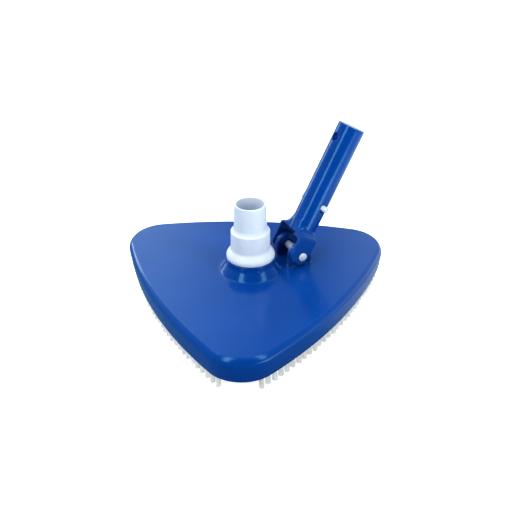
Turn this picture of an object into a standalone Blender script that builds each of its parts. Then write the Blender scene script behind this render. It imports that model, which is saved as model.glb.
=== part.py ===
"""Weighted triangular pool vacuum head: bowed-side shell on three brush strips, swivelling hose
cuff in a central neck, and a forked pole handle that tilts on a pin between two lugs.

+Z is up and +X points to the corner where the handle stands. The origin is under the middle of
the head's length and width, at the level of the bristle tips. Dimensions are in millimetres and
counted from the hose cuff's axis; the empty "head_base" carries everything to the origin. The
mesh helpers turn millimetres into Blender's metres.
"""
import math
from typing import NamedTuple

import bmesh
import bpy
from mathutils import Matrix, Vector

MM = 0.001


class Triangle(NamedTuple):
    """Bowed triangle round the cuff's axis: discs at the corners, joined by long arcs."""
    corner_at: float    # distance of each corner disc from the middle
    corner_r: float     # radius of the corner discs
    side_r: float       # radius of the bowed sides

    def side_centre(self):
        """Distance from the middle to a side arc's centre, on the far side of the middle."""
        half_chord = self.corner_at * math.sqrt(3) / 2
        return math.sqrt((self.side_r - self.corner_r) ** 2 - half_chord ** 2) - self.corner_at / 2

    def side_half(self):
        """Half the sweep of a side arc, in degrees."""
        half_chord = self.corner_at * math.sqrt(3) / 2
        return math.degrees(math.asin(half_chord / (self.side_r - self.corner_r)))


# ---- dimensions shared between pieces; heights are above the shell's rim ----
HEAD = Triangle(corner_at=108.0, corner_r=35.25, side_r=465.5)
CUFF_OFFSET = 21.855    # from the middle of the head's length to the cuff's axis
RIM_Z = 13.0            # the shell's rim above the bristle tips
GAP = 0.3               # clearance between neighbouring pieces
SHELL_H = 24.6          # rim to top face
NECK_SHELF = 29.7       # underside of the neck's inner ledge
PLATE_Z0, PLATE_Z1 = 3.0, 5.6
PIN_X, PIN_Z = 46.1, 35.2
PIN_R, PIN_HOLE_R = 4.0, 4.3
FORK_OUT = 20.3         # half width over the fork's cheeks
SCREW_R = 1.4
BLUE = (0.012, 0.098, 0.42)
CUFF_WHITE = (0.82, 0.85, 0.9)

# Frames for prisms: outline x, y become the named axes
XZ = Matrix(((1, 0, 0), (0, 0, -1), (0, 1, 0)))    # extrusion runs along -Y
YZ = Matrix(((0, 0, 1), (1, 0, 0), (0, 1, 0)))     # extrusion runs along +X


# ---- objects and materials ----
def clear_scene():
    for old in list(bpy.data.objects):
        bpy.data.objects.remove(old, do_unlink=True)


def material(name, color, roughness, metallic=0.0):
    mat = bpy.data.materials.new(name)
    mat.use_nodes = True
    shader = mat.node_tree.nodes["Principled BSDF"]
    shader.inputs["Base Color"].default_value = (*color, 1.0)
    shader.inputs["Roughness"].default_value = roughness
    shader.inputs["Metallic"].default_value = metallic
    return mat


def link(name, data, parent, location=(0, 0, 0)):
    """Object with this data, or an empty if data is None."""
    item = bpy.data.objects.new(name, data)
    bpy.context.scene.collection.objects.link(item)
    item.parent = parent
    item.location = location
    return item


def add(name, bm, parent, mat=None, smooth=True, location=(0, 0, 0)):
    bmesh.ops.recalc_face_normals(bm, faces=bm.faces)
    mesh = bpy.data.meshes.new(name)
    bm.to_mesh(mesh)
    bm.free()
    if smooth:
        mesh.shade_smooth()
        mesh.set_sharp_from_angle(angle=math.radians(35))
    if mat is not None:
        mesh.materials.append(mat)
    return link(name, mesh, parent, location)


def make_helper(item):
    item.hide_render = True
    item.display_type = "WIRE"


def combine(target, tool, operation):
    make_helper(tool)
    modifier = target.modifiers.new(operation.lower() + "_" + tool.name, "BOOLEAN")
    modifier.operation = operation
    modifier.solver = "EXACT"
    modifier.object = tool


def fuse(target, name, bm, location=(0, 0, 0)):
    combine(target, add(name, bm, target.parent, location=location), "UNION")


def cut(target, name, bm, location=(0, 0, 0)):
    combine(target, add(name, bm, target.parent, location=location), "DIFFERENCE")


# ---- meshes ----
def lathe(profile, steps):
    """Turns a closed (radius, height) profile round the Z axis."""
    bm = bmesh.new()
    verts = [bm.verts.new((radius * MM, 0.0, z * MM)) for radius, z in profile]
    edges = []
    for i, vert in enumerate(verts):
        following = (i + 1) % len(verts)
        on_axis = abs(profile[i][0]) < 1e-9 and abs(profile[following][0]) < 1e-9
        if not on_axis:
            edges.append(bm.edges.new((vert, verts[following])))
    bmesh.ops.spin(bm, geom=edges, cent=(0, 0, 0), axis=(0, 0, 1), angle=2 * math.pi,
                   steps=steps, use_merge=True)
    bmesh.ops.remove_doubles(bm, verts=bm.verts, dist=1e-7)
    return bm


def prism(points, start, end, frame=Matrix.Identity(3)):
    """A flat outline, extruded from start to end along the frame's third axis."""
    bm = bmesh.new()
    face = bm.faces.new([bm.verts.new(frame @ Vector((x * MM, y * MM, start * MM)))
                         for x, y in points])
    extruded = bmesh.ops.extrude_face_region(bm, geom=[face])["geom"]
    moved = [item for item in extruded if isinstance(item, bmesh.types.BMVert)]
    bmesh.ops.translate(bm, verts=moved, vec=frame @ Vector((0, 0, (end - start) * MM)))
    return bm


def loft(rings):
    """Closed solid through rings of equal count, with flat end caps."""
    bm = bmesh.new()
    loops = []
    for i, ring in enumerate(rings):
        verts = [bm.verts.new(Vector(point) * MM) for point in ring]
        loops.append([bm.edges.new((verts[j], verts[(j + 1) % len(verts)]))
                      for j in range(len(verts))])
        if i in (0, len(rings) - 1):
            bm.faces.new(verts)
    for lower, upper in zip(loops, loops[1:]):
        bmesh.ops.bridge_loops(bm, edges=lower + upper)
    return bm


def transformed(bm, matrix):
    bmesh.ops.transform(bm, matrix=matrix, verts=bm.verts)
    return bm


def turn(degrees, axis):
    return Matrix.Rotation(math.radians(degrees), 4, axis)


# ---- outlines ----
def rod(radius, z0, z1):
    """Lathe profile of a plain cylinder."""
    return [(0, z0), (radius, z0), (radius, z1), (0, z1)]


def from_rim(profile):
    """Raises points whose heights are above the rim."""
    return [(x, z + RIM_Z) for x, z in profile]


def rectangle(x0, x1, half_width):
    return [(x0, -half_width), (x1, -half_width), (x1, half_width), (x0, half_width)]


def polar(radius, degrees):
    return radius * math.cos(math.radians(degrees)), radius * math.sin(math.radians(degrees))


def arc(centre_x, centre_y, radius, start, end, steps):
    points = []
    for i in range(steps + 1):
        x, y = polar(radius, start + (end - start) * i / steps)
        points.append((centre_x + x, centre_y + y))
    return points


def outline(off, shape=HEAD, corner_steps=8, side_steps=6, turned=0.0):
    """Bowed triangle, anticlockwise, moved outwards by off. The first corner points to turned."""
    half = shape.side_half()
    sweep = 60.0 - half
    points = []
    for k in range(3):
        corner = 120.0 * k + turned
        points += arc(*polar(shape.corner_at, corner), shape.corner_r + off,
                      corner - sweep, corner + sweep, corner_steps)
        middle = corner + 60.0
        points += arc(*polar(-shape.side_centre(), middle), shape.side_r + off,
                      middle - half, middle + half, side_steps)[1:-1]
    return points


def head_ring(off, z):
    return [(x, y, z + RIM_Z) for x, y in outline(off)]


def side_point(inset, degrees, side, z):
    """A point at that inset from side 0, 1 or 2, degrees along the bow from its middle."""
    middle = 60.0 + 120.0 * side
    centre_x, centre_y = polar(-HEAD.side_centre(), middle)
    x, y = polar(HEAD.side_r - inset, middle + degrees)
    return centre_x + x, centre_y + y, z + RIM_Z


def pin_hole():
    """Cutter along Y for the pivot pin's hole."""
    return transformed(lathe(rod(PIN_HOLE_R, -25.0, 25.0), 20), turn(90, "X"))


# ---- screw places: one in each corner and two along each side ----
CORNER_SCREW_AT = 122.0
SIDE_SCREW_INSET = 18.5
SIDE_SCREW_DEG = 5.6


def screw_places():
    flat = [polar(CORNER_SCREW_AT, 120.0 * k) for k in range(3)]
    for side in range(3):
        for degrees in (-SIDE_SCREW_DEG, SIDE_SCREW_DEG):
            flat.append(side_point(SIDE_SCREW_INSET, degrees, side, 0.0)[:2])
    return [Vector((x, y, 0.0)) * MM for x, y in flat]


# ---- top shell ----
WALL = 2.3
CEILING = 2.8
BULGE = 2.1                     # the wall leans out by this much up to the edge band
LEAN_OFF, LEAN_Z = 0.9, 6.0     # station part way up the leaning wall
BAND_H, BAND_W = 8.0, 4.0       # edge band: an arc that meets the flat top at a crisp edge
BAND_STEPS = 4
NECK_TOP = 38.2
NECK_BORE_R = 17.6
NECK_HOLLOW_R = 22.8
NECK = [                        # radius, height above the rim
    (0, 20.4), (31.0, 20.4), (31.0, SHELL_H - 0.05), (30.0, SHELL_H + 0.15), (28.9, 25.5),
    (27.8, 26.9), (24.6, 32.3), (24.0, 34.2), (23.4, 37.3), (22.9, NECK_TOP), (0, NECK_TOP)]
LUG_IN, LUG_OUT, LUG_R = 9.4, 16.8, 11.5
LUG_FOOT_Z, LUG_FOOT_SPREAD = SHELL_H - 1.0, 1.2
LUG_STRAIGHT_Z = 28.5           # the lug's edges stand upright from here
POST_R0, POST_R1, POST_TOP = 4.0, 4.3, 22.6


def shell_body():
    band_turn = 2.0 * math.atan(BAND_W / BAND_H)
    band_r = BAND_H / math.sin(band_turn)
    rings = [head_ring(0.0, 0.0), head_ring(LEAN_OFF, LEAN_Z)]
    for i in range(BAND_STEPS + 1):
        angle = band_turn * i / BAND_STEPS
        rings.append(head_ring(BULGE - band_r * (1 - math.cos(angle)),
                               SHELL_H - BAND_H + band_r * math.sin(angle)))
    return loft(rings)


def shell_cavity():
    inside = BULGE - WALL
    return loft([head_ring(-WALL, -2.0), head_ring(LEAN_OFF - WALL, LEAN_Z),
                 head_ring(inside, SHELL_H - BAND_H),
                 head_ring(inside - 1.6, SHELL_H - CEILING - 1.2),
                 head_ring(inside - 3.6, SHELL_H - CEILING)])


def lug_outline():
    foot = LUG_R + LUG_FOOT_SPREAD
    points = [(PIN_X - foot, LUG_FOOT_Z), (PIN_X - LUG_R, LUG_STRAIGHT_Z)]
    points += arc(PIN_X, PIN_Z, LUG_R, 180.0, 0.0, 14)
    points += [(PIN_X + LUG_R, LUG_STRAIGHT_Z), (PIN_X + foot, LUG_FOOT_Z)]
    return from_rim(points)


def build_shell(base, places):
    shell = add("top_shell", shell_body(), base, material("blue_gloss_shell", BLUE, roughness=0.18))
    fuse(shell, "neck_form", lathe(from_rim(NECK), 40))
    fuse(shell, "lug_form_a", prism(lug_outline(), -LUG_OUT, -LUG_IN, XZ))
    fuse(shell, "lug_form_b", prism(lug_outline(), LUG_IN, LUG_OUT, XZ))
    cut(shell, "cavity_form", shell_cavity())
    cut(shell, "neck_hollow_form", lathe(from_rim(rod(NECK_HOLLOW_R, 18.0, NECK_SHELF)), 40))
    cut(shell, "neck_bore_form", lathe(from_rim(rod(NECK_BORE_R, 28.0, 45.0)), 40))
    cut(shell, "pin_bore_form", pin_hole(), Vector((PIN_X, 0, PIN_Z + RIM_Z)) * MM)

    post_foot = PLATE_Z1 + GAP
    post = [(0, post_foot), (POST_R0, post_foot), (POST_R1, POST_TOP), (0, POST_TOP)]
    for i, place in enumerate(places, 1):
        fuse(shell, f"screw_post_form_{i}", lathe(from_rim(post), 8), place)
    for i, place in enumerate(places, 1):
        hole = lathe(from_rim(rod(SCREW_R + 0.3, 0.0, 15.5)), 8)
        cut(shell, f"screw_hole_form_{i}", hole, place)


# ---- base plate with suction port and throat ----
PLATE_INSET = 9.2
PORT_R, THROAT_R = 18.6, 21.0
THROAT_FOOT_R = THROAT_R + 1.0
THROAT = [                      # radius, height above the rim
    (0, 1.2), (THROAT_FOOT_R, 1.2), (THROAT_FOOT_R, PLATE_Z1 + 1.0), (THROAT_R, PLATE_Z1 + 2.0),
    (THROAT_R, 22.0), (0, 22.0)]
RIB_START, RIB_HALF_WIDTH = 20.5, 1.2
CORNER_RIB_END, SIDE_RIB_END = 104.0, 78.0
RIB_Z0, RIB_Z1 = 1.6, PLATE_Z0 + 0.6


def build_plate(base, places):
    plate = add("base_plate",
                loft([head_ring(-PLATE_INSET, PLATE_Z0), head_ring(-PLATE_INSET, PLATE_Z1)]),
                base, material("blue_base_plate", BLUE, roughness=0.35))
    fuse(plate, "throat_form", lathe(from_rim(THROAT), 32))
    for k in range(6):
        end = CORNER_RIB_END if k % 2 == 0 else SIDE_RIB_END
        rib = prism(rectangle(RIB_START, end, RIB_HALF_WIDTH), RIB_Z0 + RIM_Z, RIB_Z1 + RIM_Z,
                    turn(60.0 * k, "Z").to_3x3())
        fuse(plate, f"rib_form_{k + 1}", rib)
    cut(plate, "port_form", lathe(from_rim(rod(PORT_R, -4.0, 30.0)), 32))
    for i, place in enumerate(places, 1):
        hole = lathe(from_rim(rod(SCREW_R + 0.4, -2.0, 9.0)), 8)
        cut(plate, f"plate_hole_form_{i}", hole, place)


# ---- ballast weights: a small bowed triangle in each corner ----
WEIGHT = Triangle(corner_at=13.0, corner_r=14.0, side_r=75.0)
WEIGHT_AT = 86.0
WEIGHT_Z0, WEIGHT_Z1 = 6.2, 18.0
WEIGHT_BEVEL = 1.2
WEIGHT_STATIONS = [             # outward offset, height above the rim
    (-WEIGHT_BEVEL, WEIGHT_Z0), (0, WEIGHT_Z0 + WEIGHT_BEVEL),
    (-0.5, WEIGHT_Z1 - WEIGHT_BEVEL), (-0.5 - WEIGHT_BEVEL, WEIGHT_Z1)]


def build_weights(base):
    mat = material("cast_weight", (0.09, 0.095, 0.1), roughness=0.65, metallic=0.7)
    for k in range(3):
        centre_x, centre_y = polar(WEIGHT_AT, 120.0 * k)
        rings = []
        for off, z in WEIGHT_STATIONS:
            flat = outline(off, WEIGHT, corner_steps=5, side_steps=3, turned=120.0 * k)
            rings.append([(x + centre_x, y + centre_y, z + RIM_Z) for x, y in flat])
        add(f"ballast_weight_{k + 1}", loft(rings), base, mat)


# ---- brush rails and bristle rows ----
ROW_HALF = 13.3                 # half the sweep of a bristle row, degrees
ROW_INSET = 5.7                 # rim outline to the middle of the row
TUFTS = 28
TUFT = 4.8                      # side of a square tuft
BACKING_Z0, BACKING_Z1 = 0.1, 0.7
RAIL_HALF = ROW_HALF + 0.35
RAIL_STEPS = 14
RAIL_OUT, RAIL_IN = 2.9, 8.6    # insets of the rail's edges from the rim outline
RAIL_Z0, RAIL_Z1 = 1.0, 8.0
RAIL_BEVEL = 1.0
RAIL_EASE = 0.55                # how fast the outer edge draws in past the end of the bow


def rail_edge(degrees):
    """Inset of the rail's outer edge: past the end of the bow it keeps clear of the corner."""
    past = max(0.0, abs(degrees) - HEAD.side_half()) * math.radians(1.0) * HEAD.side_r
    return RAIL_OUT + RAIL_EASE * past * past / HEAD.corner_r


def rail(side):
    stops = [-RAIL_HALF + 2 * RAIL_HALF * i / RAIL_STEPS for i in range(RAIL_STEPS + 1)]
    stops = sorted(stops + [-HEAD.side_half(), HEAD.side_half()])
    sections = []
    for degrees in stops:
        edge = rail_edge(degrees)
        corners = [(edge, RAIL_Z0), (RAIL_IN, RAIL_Z0), (RAIL_IN, RAIL_Z1 - RAIL_BEVEL),
                   (RAIL_IN - RAIL_BEVEL, RAIL_Z1), (edge + RAIL_BEVEL, RAIL_Z1),
                   (edge, RAIL_Z1 - RAIL_BEVEL)]
        sections.append([side_point(inset, degrees, side, z) for inset, z in corners])
    return loft(sections)


def bristle_row(side):
    """A thin backing strip with one square tuft hanging from every second cell."""
    half_tuft = math.degrees(TUFT / (HEAD.side_r - ROW_INSET)) / 2
    pitch = 2 * ROW_HALF / (TUFTS - 1)
    stops = []
    for i in range(TUFTS):
        middle = -ROW_HALF + pitch * i
        stops += [middle - half_tuft, middle + half_tuft]
    inner, outer = ROW_INSET + TUFT / 2, ROW_INSET - TUFT / 2
    corners = [(outer, BACKING_Z0), (inner, BACKING_Z0), (inner, BACKING_Z1), (outer, BACKING_Z1)]

    bm = bmesh.new()
    grid = [[bm.verts.new(Vector(side_point(inset, degrees, side, z)) * MM)
             for inset, z in corners] for degrees in stops]
    bm.faces.new(grid[0])
    bm.faces.new(grid[-1][::-1])
    bottoms = []
    for i, (near, far) in enumerate(zip(grid, grid[1:])):
        for j in range(4):
            following = (j + 1) % 4
            face = bm.faces.new((near[j], far[j], far[following], near[following]))
            if j == 0 and i % 2 == 0:
                bottoms.append(face)
    bmesh.ops.recalc_face_normals(bm, faces=bm.faces)
    for face in bmesh.ops.extrude_discrete_faces(bm, faces=bottoms)["faces"]:
        for vert in face.verts:
            vert.co.z = 0.0
    return bm


def build_brushes(base):
    mat_rail = material("white_rail", (0.72, 0.74, 0.76), roughness=0.45)
    mat_bristle = material("white_bristle", (0.82, 0.83, 0.84), roughness=0.5)
    for side in range(3):
        add(f"brush_rail_{side + 1}", rail(side), base, mat_rail)
        add(f"bristle_row_{side + 1}", bristle_row(side), base, mat_bristle, smooth=False)


# ---- base screws: cross-slotted, pointing up ----
HEAD_Z0, HEAD_Z1 = 0.9, PLATE_Z0 - GAP
HEAD_R = 3.3
SCREW = [                       # radius, height above the rim
    (0, HEAD_Z0), (HEAD_R - 0.5, HEAD_Z0), (HEAD_R, HEAD_Z0 + 0.7), (HEAD_R, HEAD_Z1),
    (SCREW_R, HEAD_Z1), (SCREW_R, 13.6), (0, 14.9)]
SLOT_HALF_LENGTH, SLOT_HALF_WIDTH, SLOT_DEPTH = 2.1, 0.4, 0.9
SCREW_TURN = 23.0               # each screw is turned by this more than the one before, degrees


def build_screws(base, places):
    pattern = add("screw_pattern_form", lathe(from_rim(SCREW), 10), base,
                  material("steel_screw", (0.6, 0.6, 0.62), roughness=0.3, metallic=1.0))
    for letter, half_x, half_y in (("a", SLOT_HALF_LENGTH, SLOT_HALF_WIDTH),
                                   ("b", SLOT_HALF_WIDTH, SLOT_HALF_LENGTH)):
        slot = prism(rectangle(-half_x, half_x, half_y), HEAD_Z0 - 1.0 + RIM_Z,
                     HEAD_Z0 + SLOT_DEPTH + RIM_Z)
        cut(pattern, "slot_form_" + letter, slot)
    make_helper(pattern)

    # The slotted pattern is evaluated once, so that all screws share one mesh.
    bpy.context.view_layer.update()
    depsgraph = bpy.context.evaluated_depsgraph_get()
    mesh = bpy.data.meshes.new_from_object(pattern.evaluated_get(depsgraph))
    mesh.name = "base_screw"
    for i, place in enumerate(places):
        screw = link(f"base_screw_{i + 1}", mesh, base, place)
        screw.rotation_euler = (0, 0, math.radians(SCREW_TURN * i))


# ---- swivelling hose cuff, with its ring and seal ----
SLEEVE_R, SLEEVE_Z0 = 17.2, 24.0
BORE_R = 13.0
RING_GROOVE_R, RING_GROOVE_Z0, RING_GROOVE_Z1 = 15.9, 25.4, 29.5
SEAL_GROOVE_R, SEAL_GROOVE_Z0, SEAL_GROOVE_Z1 = 15.4, 32.6, 35.8
FLANGE_R, FLANGE_Z = 23.4, 38.57
LOW_R, LOW_TOP = 19.0, 66.3     # wider lower length of the cuff
UP_R0, UP_R1 = 15.8, 14.9       # tapered upper length, bottom and top
UP_Z0, CUFF_TOP = 70.3, 94.2
FLARE = [                       # inwards from the flange's edge, up from its underside
    (0.0, 2.3), (0.25, 3.6), (0.9, 5.0), (1.9, 6.5), (3.1, 8.0), (3.9, 9.0)]
CUFF = [                        # radius, height above the rim
    (SLEEVE_R, SLEEVE_Z0), (SLEEVE_R, RING_GROOVE_Z0), (RING_GROOVE_R, RING_GROOVE_Z0),
    (RING_GROOVE_R, RING_GROOVE_Z1), (SLEEVE_R, RING_GROOVE_Z1), (SLEEVE_R, SEAL_GROOVE_Z0),
    (SEAL_GROOVE_R, SEAL_GROOVE_Z0), (SEAL_GROOVE_R, SEAL_GROOVE_Z1), (SLEEVE_R, SEAL_GROOVE_Z1),
    (SLEEVE_R, FLANGE_Z), (FLANGE_R - 0.5, FLANGE_Z), (FLANGE_R, FLANGE_Z + 0.5),
    *[(FLANGE_R - inwards, FLANGE_Z + up) for inwards, up in FLARE],
    (LOW_R, FLANGE_Z + 10.0), (LOW_R - 0.1, 56.0), (LOW_R - 0.2, LOW_TOP - 0.8),
    (LOW_R - 0.9, LOW_TOP), (UP_R0 + 0.9, LOW_TOP + 1.4), (UP_R0, UP_Z0),
    (UP_R1 + 0.1, CUFF_TOP - 0.6), (UP_R1 - 0.4, CUFF_TOP), (BORE_R + 0.3, CUFF_TOP),
    (BORE_R, CUFF_TOP - 0.4), (BORE_R, SLEEVE_Z0 + 0.4), (BORE_R + 0.4, SLEEVE_Z0)]
RING_IN, RING_OUT = RING_GROOVE_R + GAP, 20.4
RING_Z0, RING_Z1 = RING_GROOVE_Z0 + GAP, NECK_SHELF - GAP
RING = [                        # radius, height above the rim
    (RING_IN, RING_Z0), (RING_OUT - 0.4, RING_Z0), (RING_OUT, RING_Z0 + 0.4),
    (RING_OUT, RING_Z1), (RING_IN, RING_Z1)]
SEAL_IN, SEAL_OUT = SEAL_GROOVE_R + GAP, 17.3
SEAL_Z0, SEAL_Z1 = SEAL_GROOVE_Z0 + GAP, SEAL_GROOVE_Z1 - GAP
SEAL = [                        # radius, height above the rim
    (SEAL_IN, SEAL_Z0), (SEAL_OUT - 0.4, SEAL_Z0), (SEAL_OUT, SEAL_Z0 + 1.0),
    (SEAL_OUT, SEAL_Z1 - 1.0), (SEAL_OUT - 0.4, SEAL_Z1), (SEAL_IN, SEAL_Z1)]


def build_cuff(base):
    swivel = link("swivel_axis", None, base)
    add("hose_connector", lathe(from_rim(CUFF), 40), swivel,
        material("white_cuff", CUFF_WHITE, roughness=0.3))
    add("retaining_ring", lathe(from_rim(RING), 36), swivel,
        material("white_ring", (0.75, 0.77, 0.8), roughness=0.4))
    add("swivel_seal", lathe(from_rim(SEAL), 32), swivel,
        material("black_seal", (0.02, 0.02, 0.022), roughness=0.6))


# ---- pole handle, in its own frame: Z along the tube, X away from the cuff, origin on the pin ----
TILT = 27.75                    # lean of the tube at rest, degrees from upright towards +X
TUBE_R, TUBE_BORE_R = 13.15, 10.0
TUBE_END = 131.3
TUBE_CAP = 3.0
FORK_IN = 17.1                  # half width between the cheeks
FORK_BACK, FORK_FRONT = -12.9, 7.6    # back faces the cuff
ROOF = 19.0                     # top of the gap between the cheeks
ROOF_FILLET = 3.0
TUBE_START = ROOF + 0.4
CHEEK_R = 8.6
CROWN = [                       # along the tube, half width, back, front, corner radius
    (-14.0, FORK_OUT, FORK_BACK, FORK_FRONT, 0.7),
    (18.3, FORK_OUT, FORK_BACK, FORK_FRONT, 0.7),
    (19.5, FORK_OUT - 0.7, FORK_BACK, FORK_FRONT, 1.0),
    (21.4, 15.9, FORK_BACK, FORK_FRONT + 0.1, 2.2),
    (23.8, 13.2, FORK_BACK, FORK_FRONT + 0.9, 4.8),
    (27.5, 11.9, FORK_BACK, FORK_FRONT + 1.7, 7.0),
    (33.5, 11.2, FORK_BACK + 0.4, FORK_FRONT + 2.4, 9.5)]
TUBE = [                        # radius, along the tube
    (TUBE_BORE_R, TUBE_START), (TUBE_R, TUBE_START), (TUBE_R, TUBE_END - 0.5),
    (TUBE_R - 0.5, TUBE_END), (0, TUBE_END), (0, TUBE_END - TUBE_CAP),
    (TUBE_BORE_R, TUBE_END - TUBE_CAP)]
BUTTON_Z, BUTTON_R = 50.6, 2.75
BUTTON_DROP = 2.2               # room for the button to sink towards the fork
SLOT_R = BUTTON_R + 0.35
TOP_HOLE_Z, TOP_HOLE_R = 116.7, 4.0
CLIP_TURN = Matrix.Rotation(math.radians(9.0), 3, "Z")    # the clip and its slots sit turned


def crown_section(z, half, back, front, radius):
    """Rounded rectangle across the tube."""
    points = []
    for x_sign, y_sign, start in ((1, 1, 0), (-1, 1, 90), (-1, -1, 180), (1, -1, 270)):
        centre_x = (front - radius) if x_sign > 0 else (back + radius)
        corner = arc(centre_x, y_sign * (half - radius), radius, start, start + 90, 3)
        points += [(x, y, z) for x, y in corner]
    return points


def cheek_outline():
    """Side view of the fork, rounded under the pin: x, z."""
    points = [(FORK_BACK - 2, 30.0), (FORK_BACK - 2, -2.0), (FORK_BACK + 0.1, -2.0),
              (FORK_BACK + 1.2, -4.6), (-8.6, -7.6)]
    points += arc(0, 0, CHEEK_R, -115.0, -12.0, 8)
    return points + [(FORK_FRONT + 0.4, 8.0), (FORK_FRONT + 0.4, 30.0)]


def fork_gap():
    """The space between the cheeks, with filleted top corners."""
    half = [(FORK_IN, -16.0), (FORK_IN, ROOF - ROOF_FILLET)]
    half += arc(FORK_IN - ROOF_FILLET, ROOF - ROOF_FILLET, ROOF_FILLET, 0.0, 90.0, 3)[1:]
    return prism(half + [(-y, z) for y, z in reversed(half)], -20.0, 20.0, YZ)


def build_fork(tilt):
    fork = add("fork_form", loft([crown_section(*station) for station in CROWN]), tilt)
    cheeks = add("cheek_form", prism(cheek_outline(), -24.0, 24.0, XZ), tilt)
    combine(fork, cheeks, "INTERSECT")
    cut(fork, "fork_gap_form", fork_gap())
    cut(fork, "fork_bore_form", lathe(rod(TUBE_BORE_R - 0.4, 10.0, 27.0), 36))
    return fork


def build_handle(tilt):
    handle = add("pole_handle", lathe(TUBE, 36), tilt,
                 material("blue_gloss_handle", BLUE, roughness=0.2))
    combine(handle, build_fork(tilt), "UNION")
    cut(handle, "fork_pin_form", pin_hole())
    slot = arc(0, BUTTON_Z, SLOT_R, 0.0, 180.0, 8)
    slot += arc(0, BUTTON_Z - BUTTON_DROP, SLOT_R, 180.0, 360.0, 8)
    cut(handle, "button_slot_form", prism(slot, -16.0, 16.0, CLIP_TURN @ XZ))
    place = Matrix.Translation(Vector((0, 0, TOP_HOLE_Z)) * MM) @ turn(90, "Y")
    cut(handle, "top_hole_form", transformed(lathe(rod(TOP_HOLE_R, -16.0, 16.0), 20), place))


# ---- pivot pin and its cap ----
PIN_FACE = FORK_OUT + GAP       # where the heads bear, either side of the fork
PIN_HEAD_R = 4.55
STEM_R = 2.4                    # thinner end of the pin, inside the cap
CAP_BORE_R = STEM_R + GAP
PIN = [                         # radius, along +Y
    (0, -(PIN_FACE + 1.0)), (2.6, -(PIN_FACE + 0.95)), (4.1, -(PIN_FACE + 0.6)),
    (PIN_HEAD_R, -PIN_FACE), (PIN_R, -PIN_FACE), (PIN_R, PIN_FACE - 0.6),
    (STEM_R, PIN_FACE - 0.2), (STEM_R, PIN_FACE + 0.8), (0, PIN_FACE + 0.8)]
PIN_CAP = [                     # radius, along +Y
    (CAP_BORE_R, PIN_FACE), (PIN_HEAD_R, PIN_FACE), (4.1, PIN_FACE + 0.8), (2.6, PIN_FACE + 1.3),
    (0, PIN_FACE + 1.4), (0, PIN_FACE + 1.1), (CAP_BORE_R, PIN_FACE + 1.1)]


def build_pin(tilt):
    mat = material("white_pin", (0.8, 0.83, 0.88), roughness=0.35)
    add("pivot_pin", transformed(lathe(PIN, 20), turn(-90, "X")), tilt, mat)
    add("pivot_pin_cap", transformed(lathe(PIN_CAP, 18), turn(-90, "X")), tilt, mat)


# ---- V-shaped spring clip: a bend, and two arms that each carry a snap button ----
BEND_Z = 94.0
BEND_OUT, BEND_IN = 3.3, 1.9
CLIP_HALF_WIDTH = 3.6
ARM_TOP, ARM_FOOT = (2.6, BEND_Z), (7.7, 45.5)    # sideways, along the tube
ARM_HALF_THICK = 0.7
BUTTON_TIP = 18.8
BUTTON = [                      # radius, outwards from the tube's axis
    (0, 6.6), (BUTTON_R, 6.6), (BUTTON_R, BUTTON_TIP - 0.9),
    (BUTTON_R - 0.35, BUTTON_TIP - 0.25), (BUTTON_R - 1.1, BUTTON_TIP), (0, BUTTON_TIP)]


def clip_strip(points):
    return prism(points, -CLIP_HALF_WIDTH, CLIP_HALF_WIDTH, CLIP_TURN @ YZ)


def arm_outline(sign):
    top, foot = Vector(ARM_TOP), Vector(ARM_FOOT)
    along = (foot - top).normalized()
    across = Vector((-along.y, along.x)) * ARM_HALF_THICK
    corners = [top - across, top + across, foot + across, foot - across]
    return [(sign * corner.x, corner.y) for corner in corners]


def build_clip(tilt):
    mat = material("white_clip", CUFF_WHITE, roughness=0.35)
    bend = arc(0, BEND_Z + GAP, BEND_OUT, 0.0, 180.0, 8)
    bend += arc(0, BEND_Z + GAP, BEND_IN, 180.0, 0.0, 8)
    add("spring_clip_bend", clip_strip(bend), tilt, mat)
    lift = Matrix.Translation(Vector((0, 0, BUTTON_Z)) * MM)
    for side, sign in (("left", 1), ("right", -1)):
        arm = add("spring_clip_arm_" + side, clip_strip(arm_outline(sign)), tilt, mat)
        place = CLIP_TURN.to_4x4() @ lift @ turn(-90 * sign, "X")
        fuse(arm, "button_form_" + side, transformed(lathe(BUTTON, 14), place))


def main():
    clear_scene()
    base = link("head_base", None, None, (-CUFF_OFFSET * MM, 0.0, 0.0))
    places = screw_places()
    build_shell(base, places)
    build_plate(base, places)
    build_weights(base)
    build_brushes(base)
    build_screws(base, places)
    build_cuff(base)
    tilt = link("tilt_axis", None, base, Vector((PIN_X, 0, PIN_Z + RIM_Z)) * MM)
    tilt.rotation_euler = (0, math.radians(TILT), 0)
    build_handle(tilt)
    build_pin(tilt)
    build_clip(tilt)


main()
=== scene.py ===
"""Pool vacuum head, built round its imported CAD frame. Metres, +Z up, floor at z = 0.

A rounded triangular shell, one corner along +X, stands on three curved brush rows. A hose cuff
rises on its centre axis, and a forked pole handle leans towards +X from a pin between two lugs.
Sizes are millimetres about the cuff's axis. Heights count from the shell's lower rim, LIFT above
the floor; finished pieces then move by SHIFT into the CAD frame.
"""
import math

import bmesh
import bpy
import numpy as np
from mathutils import Matrix, Vector


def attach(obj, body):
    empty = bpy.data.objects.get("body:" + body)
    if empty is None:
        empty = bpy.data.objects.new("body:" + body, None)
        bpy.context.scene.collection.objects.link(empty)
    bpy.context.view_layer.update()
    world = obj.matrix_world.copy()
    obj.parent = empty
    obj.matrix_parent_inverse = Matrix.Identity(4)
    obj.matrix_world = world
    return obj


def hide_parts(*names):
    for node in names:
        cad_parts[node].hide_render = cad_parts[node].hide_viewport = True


MM = 0.001
LIFT = 13.0
SHIFT = Vector((-0.021855, 0.0, 0.0))
GAP = 0.3                                  # clearance between neighbouring pieces

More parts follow.
